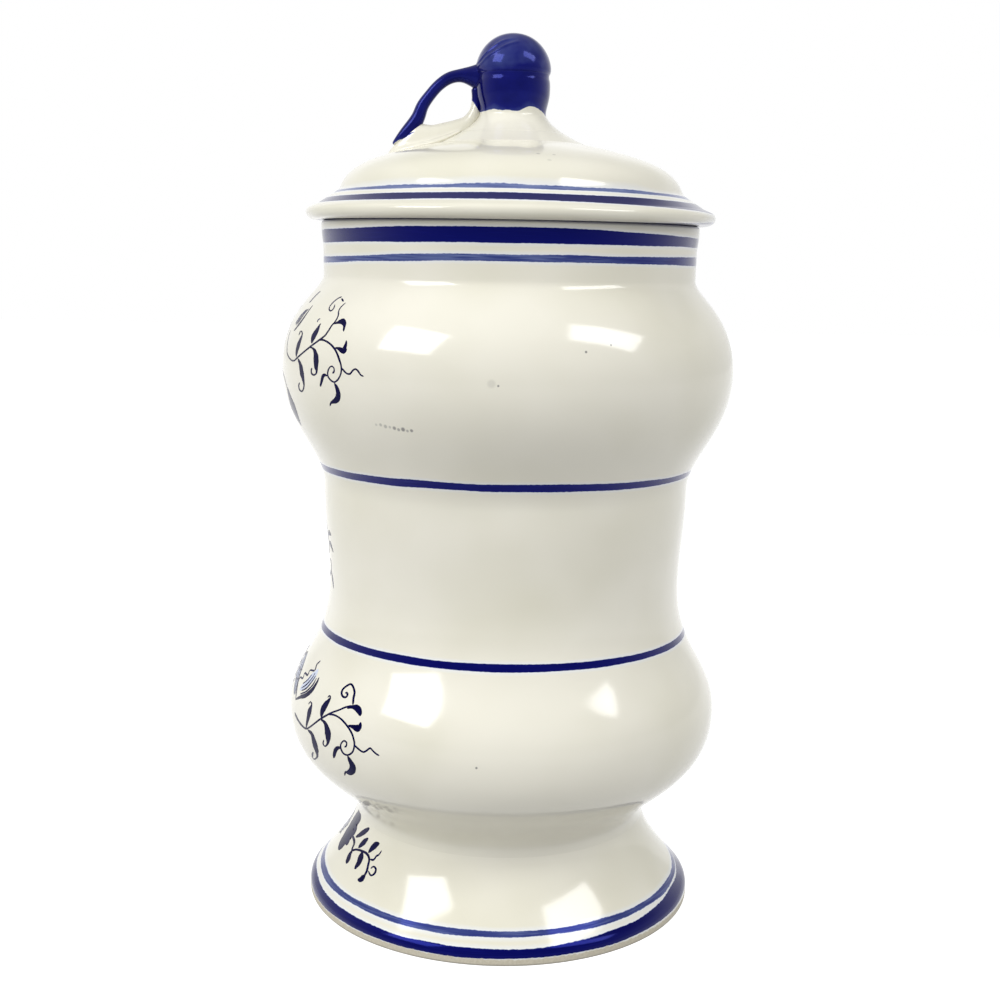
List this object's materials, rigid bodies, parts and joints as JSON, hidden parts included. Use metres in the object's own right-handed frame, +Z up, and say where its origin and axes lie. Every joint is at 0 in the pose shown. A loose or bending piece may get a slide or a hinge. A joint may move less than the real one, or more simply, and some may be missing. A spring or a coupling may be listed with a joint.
{
  "type": "cookie jar",
  "caption": "Footed ceramic cookie jar, round in plan with two bulbs and a waist, under a domed lid with a locating ring and a fruit knob with a twig loop.",
  "frame": {"origin": "centre of the foot's resting face, on the jar's axis", "axes": "+Z up along the jar's axis, the decorated front and the knob's twig towards -Y, +X to the right seen from the front"},
  "size_m": [0.1574, 0.1574, 0.305],
  "materials": {
    "cream_glaze": "glossy",
    "cobalt_glaze": "glossy"
  },
  "bodies": {
    "jar": {"pedestal_foot": "cream_glaze", "jar_body": "cream_glaze"},
    "lid_ring": {"lid_flange": "cream_glaze"},
    "lid": {"lid_dome": "cream_glaze", "knob_socle": "cream_glaze", "knob_bud": "cobalt_glaze", "twig_stem": "cobalt_glaze", "twig_saddle": "cream_glaze"}
  },
  "joints": [
    {"name": "lid_lift", "type": "slide", "parent": "jar", "child": "lid_ring", "axis": [0, 0, 1], "range_m": [0, 0.1]},
    {"name": "lid_turn", "type": "hinge", "parent": "lid_ring", "child": "lid", "pos_m": [0, 0, 0.2406], "axis": [0, 0, 1], "continuous": true}
  ]
}
